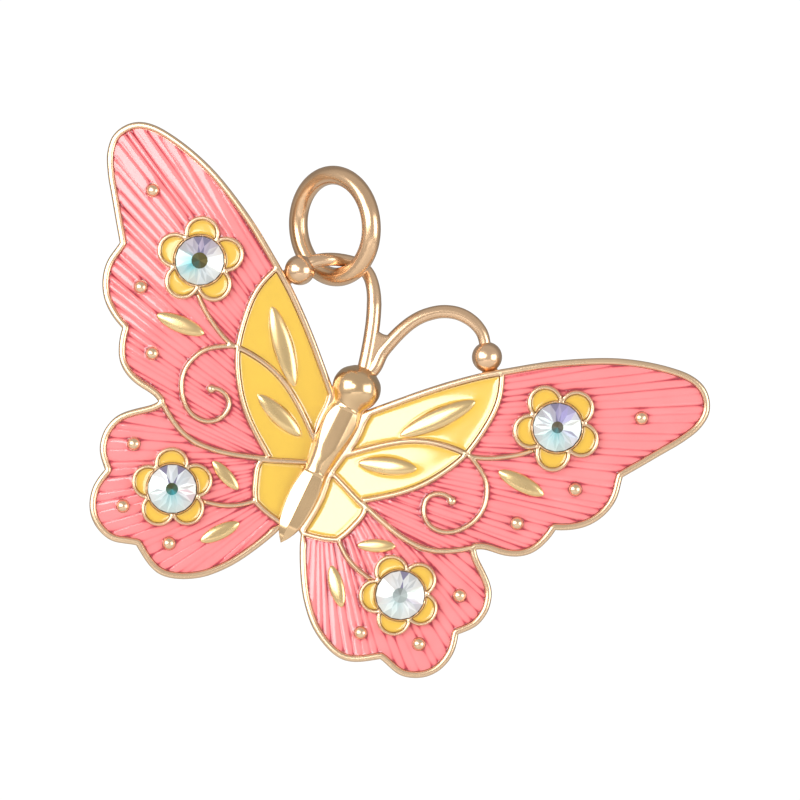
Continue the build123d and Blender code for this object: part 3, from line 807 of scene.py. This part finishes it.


# painted reflections on each stone's coated facets round its face: direction from the top, clockwise, and colour; the
# table's colours, the dark wedges and the blue-green side are painted reflections too
STONES = {
    ("left", "forewing"): {"eye": 0.82, "cyan_flash": (248, 0.90), "dark": (2, 24),
        "heart": [(20, (0.120, 0.085, 0.022)), (140, (0.110, 0.080, 0.026)), (225, (0.040, 0.085, 0.080)), (285, (0.080, 0.085, 0.046))],
        "facets": [(0, (0.48, 0.40, 0.58)), (28, (0.54, 0.46, 0.62)), (55, (0.84, 0.80, 0.86)), (82, (1.0, 1.0, 1.0)), (120, (0.88, 0.90, 0.93)), (165, (0.72, 0.78, 0.85)),
                   (205, (0.80, 0.80, 0.74)), (240, (0.58, 0.76, 0.80)), (275, (0.74, 0.82, 0.84)), (305, (0.70, 0.67, 0.73)), (338, (0.62, 0.57, 0.68))]},
    ("right", "forewing"): {"eye": 0.60, "cyan_flash": (195, 0.62), "dark": (-6,),
        "heart": [(0, (0.105, 0.070, 0.045)), (120, (0.110, 0.095, 0.085)), (200, (0.070, 0.190, 0.215)), (280, (0.110, 0.095, 0.075))],
        "facets": [(0, (0.46, 0.41, 0.58)), (22, (0.46, 0.40, 0.78)), (45, (0.62, 0.58, 0.88)), (66, (0.97, 0.97, 0.98)), (95, (1.0, 1.0, 1.0)), (113, (0.58, 0.54, 0.78)),
                   (135, (0.86, 0.88, 0.94)), (180, (0.76, 0.90, 0.92)), (220, (0.76, 0.86, 0.90)), (255, (0.80, 0.80, 0.83)), (290, (0.64, 0.62, 0.70)), (328, (0.60, 0.58, 0.68))]},
    ("left", "hindwing"): {"eye": 0.62, "cyan_flash": (175, 0.55), "dark": (-24, 28),
        "heart": [(0, (0.062, 0.060, 0.020)), (100, (0.055, 0.130, 0.100)), (170, (0.045, 0.330, 0.400)), (240, (0.055, 0.150, 0.130)), (300, (0.068, 0.065, 0.020))],
        "facets": [(0, (0.80, 0.84, 0.92)), (50, (0.78, 0.82, 0.90)), (80, (0.95, 0.92, 0.94)), (108, (0.92, 0.70, 0.78)), (138, (0.84, 0.86, 0.90)), (180, (0.78, 0.90, 0.91)),
                   (225, (0.82, 0.89, 0.91)), (270, (0.84, 0.87, 0.92)), (310, (0.92, 0.92, 0.94))]},
    ("right", "hindwing"): {"eye": 0.75, "cyan_flash": (215, 0.20), "dark": (0,),
        "heart": [(0, (0.31, 0.33, 0.34)), (120, (0.38, 0.42, 0.42)), (240, (0.33, 0.38, 0.39))],
        "facets": [(0, (0.86, 0.86, 0.90)), (45, (0.64, 0.66, 0.70)), (66, (0.97, 0.97, 0.97)), (92, (1.0, 1.0, 1.0)), (115, (0.80, 0.76, 0.88)), (150, (0.90, 0.92, 0.94)),
                   (200, (0.84, 0.91, 0.92)), (250, (0.92, 0.93, 0.94)), (290, (0.92, 0.82, 0.85)), (330, (0.93, 0.93, 0.94))]},
}
# facet corners at the girdle are painted warmer, as part of the painted facet colours
WARM = np.array([0.96, 0.90, 0.85])
for sign, sname in SIDE.items():
    for k, ((c, first), wname) in enumerate(zip(FLOWERS, ("forewing", "hindwing"))):
        o = make_crystal(sname + "_" + wname + "_stone", c, first + 11 * k + (7 if sign < 0 else 0), sign, 0.4 + k * 1.3 + (0.7 if sign < 0 else 0), STONES[(sname, wname)])
        dress(o, M_CRYSTAL, "crystal", sname + "_" + wname + "_crystal")
        NODES[sname + "_" + wname + "_crystal_cement"].data.materials.clear()
        NODES[sname + "_" + wname + "_crystal_cement"].data.materials.append(M_CEMENT)


# ------------------------------------------------------------------ body, antennae, ring
def smooth_line(pts, n):
    """Even points along a smooth curve through the given points."""
    P = np.array(pts, float)
    Q = np.vstack([2 * P[0] - P[1], P, 2 * P[-1] - P[-2]])
    out = []
    for i in range(1, len(Q) - 2):
        p0, p1, p2, p3 = Q[i - 1:i + 3]
        for t in np.linspace(0, 1, 24, endpoint=False):
            out.append(0.5 * (2 * p1 + (p2 - p0) * t + (2 * p0 - 5 * p1 + 4 * p2 - p3) * t * t + (3 * p1 - p0 - 3 * p2 + p3) * t ** 3))
    out.append(P[-1])
    out = np.array(out)
    s = np.r_[0, np.cumsum(np.linalg.norm(np.diff(out, axis=0), axis=1))]
    q = np.linspace(0, s[-1], n)
    return np.stack([np.interp(q, s, out[:, k]) for k in range(out.shape[1])], -1)


BODY = [(0.0, 1.75), (0.75, 1.66), (1.30, 1.42), (2.10, 0.72), (2.45, -0.30), (2.30, -1.30), (1.82, -2.15), (1.62, -2.62), (1.74, -3.2), (1.88, -4.1),
        (1.84, -5.2), (1.68, -6.7), (1.46, -8.2), (1.27, -9.7), (1.44, -10.6), (1.60, -12.0), (1.56, -13.5), (1.36, -15.0), (1.05, -16.1),
        (0.58, -17.0), (0.0, -17.75)]


def make_body():
    """Turned body with three flats along the thorax and a ridge along the abdomen."""
    prof = smooth_line(BODY, 300)
    prof[:, 0] = np.maximum(prof[:, 0], 0.0)
    V, F = [], []
    m = 144
    rows = []
    sides = math.radians(25.0), math.radians(23.0), math.radians(-9.0)
    for r, v in prof[1:-1]:
        row = []
        away = max(0.0, v + 2.9) * 2.0 + max(0.0, -9.4 - v) * 0.5
        fall = -0.0875 * max(0.0, -10.1 - v) - 0.18 * max(0.0, -15.7 - v) ** 2 + max(0.0, v + 10.1) * 1.3
        r *= 1 - 0.06 * min(1.0, max(0.0, (-9.9 - v) / 1.2))
        flats = [(0.0, 1.42 + away), (-sides[0], 1.604 + away), (sides[0], 1.604 + away), (sides[1], max(1.108 + fall, 0.42 * r + 0.01)), (sides[2], max(1.102 + fall, 0.42 * r + 0.01))]
        deep = 1.36 if v > -2.6 else 0.9
        lean = -0.34 * max(0.0, -v - 2.0) / 15.75
        for i in range(m):
            a = 2 * math.pi * i / m
            c, s = math.cos(a), math.sin(a)
            acc = 1.0
            for tip, at in flats:
                k = math.cos(a - math.pi / 2 - tip)
                if k > 0.05:
                    acc += (k * r / at) ** 44
            k = acc ** (-1 / 44)
            row.append(len(V))
            V.append((BODY_U + lean + r * k * c, v, BODY_W + max(r * k * s, -deep)))
        rows.append(row)
    for a, b in zip(rows, rows[1:]):
        for i in range(m):
            j = (i + 1) % m
            F.append([a[i], b[i], b[j], a[j]])
    V.append((BODY_U, prof[0, 1], BODY_W))
    V.append((BODY_U - 0.34, prof[-1, 1], BODY_W))
    p, q = len(V) - 2, len(V) - 1
    for i in range(m):
        j = (i + 1) % m
        F.append([p, rows[0][i], rows[0][j]])
        F.append([q, rows[-1][j], rows[-1][i]])
    P = np.array(V)
    return mesh_object("body_form", to_row(P[:, 0], P[:, 1], P[:, 2]), F, 60)


body = make_body()
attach(body, "butterfly")
dress(body, M_BODY, "gold_body", "body_casting")


def tube(path, radii, m=32):
    """Closed round tube along a plan path (u, v, w), capped."""
    P = np.array(path, float)
    tan = np.gradient(P, axis=0)
    tan /= np.linalg.norm(tan, axis=1)[:, None]
    V, F = [], []
    for p, t, r in zip(P, tan, radii):
        n1 = np.array([-t[1], t[0], 0.0])
        n1 /= np.linalg.norm(n1)
        n2 = np.cross(t, n1)
        for i in range(m):
            a = 2 * math.pi * i / m
            V.append(p + r * (math.cos(a) * n1 + math.sin(a) * n2))
    for k in range(len(P) - 1):
        for i in range(m):
            j = (i + 1) % m
            F.append([k * m + i, k * m + j, (k + 1) * m + j, (k + 1) * m + i])
    F.append([i for i in range(m)][::-1])
    F.append([(len(P) - 1) * m + i for i in range(m)])
    return np.array(V), F


def ball(c, r, m=48, n=24):
    V, F = [], []
    for j in range(1, n):
        a = math.pi * j / n
        for i in range(m):
            q = 2 * math.pi * i / m
            V.append((c[0] + r * math.sin(a) * math.cos(q), c[1] + r * math.sin(a) * math.sin(q), c[2] + r * math.cos(a)))
    V.append((c[0], c[1], c[2] + r))
    V.append((c[0], c[1], c[2] - r))
    t, b = len(V) - 2, len(V) - 1
    for j in range(n - 2):
        for i in range(m):
            k = (i + 1) % m
            F.append([j * m + i, (j + 1) * m + i, (j + 1) * m + k, j * m + k])
    for i in range(m):
        k = (i + 1) % m
        F.append([t, i, k])
        F.append([b, (n - 2) * m + k, (n - 2) * m + i])
    return np.array(V), F


LEFT_ANT = [(-0.365, 2.202), (-0.775, 3.887), (-1.17, 5.302), (-1.508, 6.358), (-1.943, 7.48), (-2.408, 8.477), (-2.939, 9.332),
            (-3.555, 10.038), (-4.232, 10.495), (-4.933, 10.697), (-5.657, 10.713), (-6.473, 10.569), (-7.251, 10.345), (-7.9, 10.081),
            (-8.606, 9.702), (-9.264, 9.219), (-9.759, 8.624), (-10.256, 7.774)]
LEFT_SET = [0, 0, 0, -0.05, -0.16, -0.34, -0.52, -0.68, -0.78, -0.78, -0.66, -0.38, 0, 0.3, 0.54, 0.66, 0.68, 0.62]
RIGHT_ANT = [(0.619, 2.198), (0.638, 3.718), (0.965, 5.029), (1.428, 6.403), (1.975, 7.596), (2.627, 8.563), (3.377, 9.321),
             (4.199, 9.924), (5.11, 10.338), (6.113, 10.552), (7.243, 10.494), (8.286, 10.153), (9.207, 9.479), (10.369, 7.814)]
WEB = [(-0.386, 2.247), (-0.766, 3.891), (-1.152, 5.311), (-0.563, 5.585), (-0.091, 5.519), (0.322, 5.579), (0.705, 5.824), (1.279, 5.893),
       (0.965, 5.029), (0.638, 3.718), (0.602, 2.377)]


def make_antennae():
    V, F = [], []

    def put(v, f):
        s = sum(len(x) for x in V)
        V.append(np.asarray(v))
        F.extend([[int(i) + s for i in q] for q in f])

    for pts, bend in ((LEFT_ANT, LEFT_SET), (RIGHT_ANT, [0] * len(RIGHT_ANT))):
        p3 = [(p[0], p[1], ANT_W + b) for p, b in zip(pts, bend)]
        path = smooth_line([(0.55 * p3[0][0], 1.2, ANT_W)] + p3, 260)
        x = np.linspace(0, 1, len(path))
        if pts is LEFT_ANT:
            rad = 0.675 + 0.07 * np.clip((9.8 - path[:, 1]) / 2.0, 0, 1) * (path[:, 0] > -5) - 0.02 * np.exp(-((path[:, 0] + 7.25) / 1.6) ** 2)
        else:
            rad = 0.73 - 0.06 * np.clip((path[:, 1] - 4.0) / 4.0, 0, 1) - 0.11 * np.clip((x - 0.72) / 0.25, 0, 1)
        put(*tube(path, rad))
        put(*ball(p3[-1], TIP_R - 0.01))
        # solder where the ball sits on the wing edge
        foot = np.array(p3[-1]) + np.array([math.copysign(0.60, pts[-1][0]) * 1.36, -0.80 * 1.36, -0.35])
        v, f = ball((0, 0, 0), 1.0, 32, 16)
        along = np.array([0.80, math.copysign(0.60, pts[-1][0]), 0.0])
        across = np.array([-along[1], along[0], 0.0])
        put(foot + np.outer(v[:, 0] * 0.80, along) + np.outer(v[:, 1] * 0.36, across) + np.outer(v[:, 2] * 0.62, np.array([0, 0, 1.0])), f)
    # cast web between the two arms, rounded over its edge
    r = Region([np.array(WEB)], 0.12)
    v, f = triangulate(r, r.rings([0.04, 0.09, 0.16, 0.25, 0.36, 0.5, 0.7], 0.03))
    d = r.dist(v)
    h = 0.63 * np.sqrt(np.clip(1 - (1 - np.clip(d / 0.34, 0, 1)) ** 2, 0, 1))
    edge = sorted({i for e in rim_edges(f) for i in e})
    free = [i for i in range(len(v)) if i not in set(edge)]
    back = {i: i for i in edge}
    back.update({i: len(v) + k for k, i in enumerate(free)})
    both = np.vstack([np.column_stack([v, ANT_W + h]), np.column_stack([v[free], ANT_W - h[free]])])
    put(both, [list(q) for q in f] + [[back[int(q[2])], back[int(q[1])], back[int(q[0])]] for q in f])
    P = np.vstack(V)
    return mesh_object("antenna_pair", to_row(P[:, 0], P[:, 1], P[:, 2]), F, 55)


ant = make_antennae()
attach(ant, "butterfly")
dress(ant, M_ANT, "gold_antenna", "antenna_fork")


def make_ring(a_n=220, b_n=56):
    nor = np.cross(RACROSS, RUP)
    V, F = [], []
    for i in range(a_n):
        a = 2 * math.pi * i / a_n
        rad = math.cos(a) * RACROSS + math.sin(a) * RUP
        for j in range(b_n):
            b = 2 * math.pi * j / b_n
            V.append(RING_C + rad * (RING_R + RING_WIRE_R * math.cos(b)) + nor * RING_WIRE_R * math.sin(b))
    for i in range(a_n):
        for j in range(b_n):
            i2, j2 = (i + 1) % a_n, (j + 1) % b_n
            F.append([i * b_n + j, i2 * b_n + j, i2 * b_n + j2, i * b_n + j2])
    return mesh_object("ring_wire", np.array(V) * 0.001, F, 60)


ring = make_ring()
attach(ring, "ring")
dress(ring, M_RING, "gold_ring", "hanging_ring")

# ------------------------------------------------------------------ stage, light, camera
scene = bpy.context.scene
scene.view_settings.view_transform = "Standard"
scene.view_settings.look = "None"

bpy.ops.mesh.primitive_circle_add(vertices=96, radius=0.9, fill_type="NGON", location=(0.007, 0.0, -0.36))
floor = bpy.context.object
floor.name = "floor"
m_floor, _, _ = principled("floor_pale", (0.86, 0.86, 0.85), Roughness=0.7)
floor.data.materials.append(m_floor)

world = bpy.data.worlds.new("studio")
scene.world = world
world.use_nodes = True
nt = world.node_tree
bg = nt.nodes["Background"]
tc = nt.nodes.new("ShaderNodeTexCoord")
sep = nt.nodes.new("ShaderNodeSeparateXYZ")
nt.links.new(tc.outputs["Generated"], sep.inputs["Vector"])
mr = nt.nodes.new("ShaderNodeMapRange")
mr.inputs["From Min"].default_value = -1.0
mr.inputs["From Max"].default_value = 1.0
nt.links.new(sep.outputs["Y"], mr.inputs["Value"])
wr = ramp(nt, mr.outputs["Result"], [(0.0, (0.56, 0.55, 0.535)), (0.50, (0.56, 0.55, 0.535)), (0.66, (0.33, 0.32, 0.31)),
                                     (0.985, (0.30, 0.29, 0.28)), (0.9935, (1.05, 1.05, 1.05))])
nt.links.new(wr.outputs["Color"], bg.inputs["Color"])
bg.inputs["Strength"].default_value = 1.0


AIM = Vector((0.007, 0.0, -0.0215))


def soft_box(name, az, el, size, power, roll=0.0, color=(1, 1, 1)):
    l = bpy.data.lights.new(name, "AREA")
    l.shape = "RECTANGLE"
    l.size, l.size_y = size
    l.energy = power
    l.color = color
    o = bpy.data.objects.new(name, l)
    scene.collection.objects.link(o)
    az, el = math.radians(az), math.radians(el)
    away = Vector((math.sin(az) * math.cos(el), -math.cos(az) * math.cos(el), math.sin(el)))
    o.location = AIM + away * 0.70
    o.rotation_mode = "QUATERNION"
    o.rotation_quaternion = (-away).to_track_quat("-Z", "Y") @ Quaternion((0, 0, 1), math.radians(roll))
    o.visible_camera = False
    return o


soft_box("key_left", -44.0, 13.0, (0.46, 0.46), 2.9)
soft_box("key_right", 54.0, -2.0, (0.48, 0.40), 1.85)
soft_box("sheen", -16.0, 7.5, (0.168, 0.26), 0.70, -25.0)
soft_box("low", 0.0, -38.0, (0.70, 0.34), 0.95)

D = 0.70
cam_d = bpy.data.cameras.new("camera")
cam = bpy.data.objects.new("camera", cam_d)
scene.collection.objects.link(cam)
cx, cz = (4.0 - HOOK[0]) * 0.001, (-1.6 - HOOK[2]) * 0.001
cam.location = (cx, -D, cz)
cam.rotation_euler = (math.pi / 2, 0, 0)
cam_d.sensor_width = 36.0
cam_d.lens = 36.0 * D / 0.080
cam_d.clip_start, cam_d.clip_end = 0.01, 50.0
scene.camera = cam
